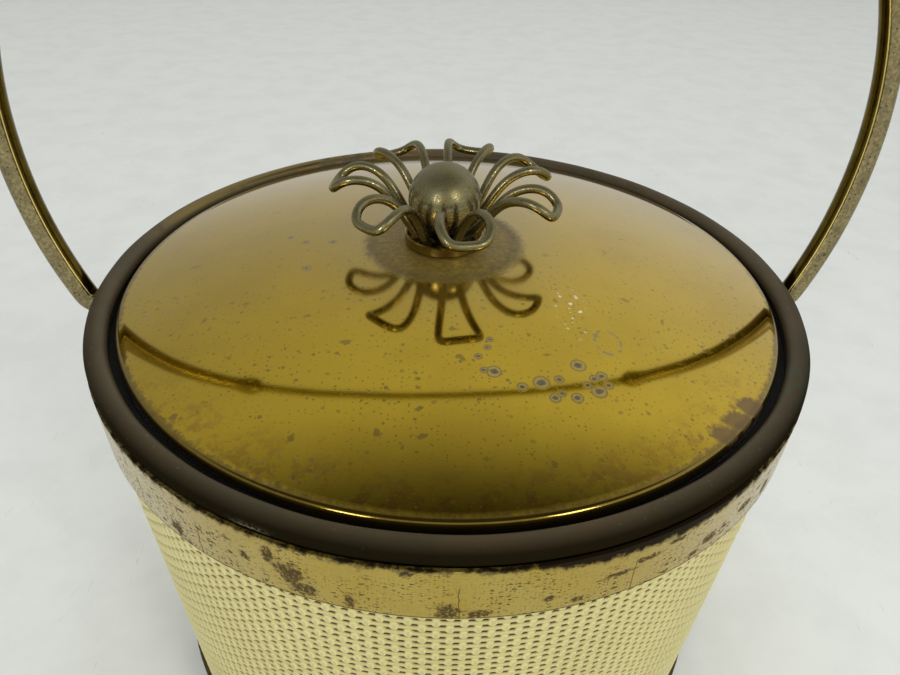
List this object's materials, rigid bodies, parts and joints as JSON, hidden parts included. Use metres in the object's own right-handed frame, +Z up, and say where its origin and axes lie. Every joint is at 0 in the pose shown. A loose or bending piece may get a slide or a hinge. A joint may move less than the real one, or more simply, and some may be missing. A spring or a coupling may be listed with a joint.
{
  "type": "lidded champagne bucket",
  "caption": "Round insulated bucket with a woven metal wrap, rolled rim, hoop handle and a domed lift-off lid topped by a ball and wire-petal knob.",
  "frame": {"origin": "on the floor under the bucket's axis, at the centre of the foot ring's underside", "axes": "+Z up along the bucket's axis, X through the two handle pivots, -Y towards the front"},
  "size_m": [0.2438, 0.2004, 0.3101],
  "materials": {
    "can_steel": "satin",
    "woven_wrap": "satin",
    "band_brass": "satin",
    "bead_bronze": "matte",
    "liner_steel": "satin",
    "collar_black": "matte",
    "foam": "matte",
    "foot_rubber": "matte",
    "bush_brass": "satin",
    "pin_steel": "satin",
    "handle_brass": "satin",
    "lid_brass": "polished",
    "pan_steel": "satin",
    "cup_brass": "satin",
    "knob_plate": "satin"
  },
  "bodies": {
    "bucket": {"outer_shell": "can_steel", "weave_wrap": "woven_wrap", "top_band": "band_brass", "rim_bead": "bead_bronze", "inner_liner": "liner_steel", "liner_collar": "collar_black", "insulation_foam": "foam", "base_plate": "can_steel", "base_bead": "bead_bronze", "base_band": "band_brass", "foot_ring": "foot_rubber", "pivot_bush_left": "bush_brass", "pivot_bush_right": "bush_brass"},
    "handle": {"handle_arm_left": "handle_brass", "handle_arm_right": "handle_brass", "handle_shoulder_left": "handle_brass", "handle_shoulder_right": "handle_brass", "handle_grip": "handle_brass", "pivot_pin_left": "pin_steel", "pivot_pin_right": "pin_steel", "pivot_clip_left": "pin_steel", "pivot_clip_right": "pin_steel"},
    "lid": {"lid_dome": "lid_brass", "lid_gasket": "foot_rubber", "lid_pan": "pan_steel", "lid_foam": "foam", "knob_washer": "pin_steel", "knob_screw": "pin_steel", "knob_cup": "cup_brass", "petal_hub": "cup_brass", "knob_ball": "knob_plate", "petal_1": "knob_plate", "petal_2": "knob_plate", "petal_3": "knob_plate", "petal_4": "knob_plate", "petal_5": "knob_plate", "petal_6": "knob_plate", "petal_7": "knob_plate"}
  },
  "joints": [
    {"name": "handle_swing", "type": "hinge", "parent": "bucket", "child": "handle", "pos_m": [0, 0, 0.148], "axis": [1, 0, 0], "range_deg": [-127, 143]},
    {"name": "lid_lift", "type": "slide", "parent": "bucket", "child": "lid", "axis": [0, 0, 1], "range_m": [0, 0.08]}
  ]
}
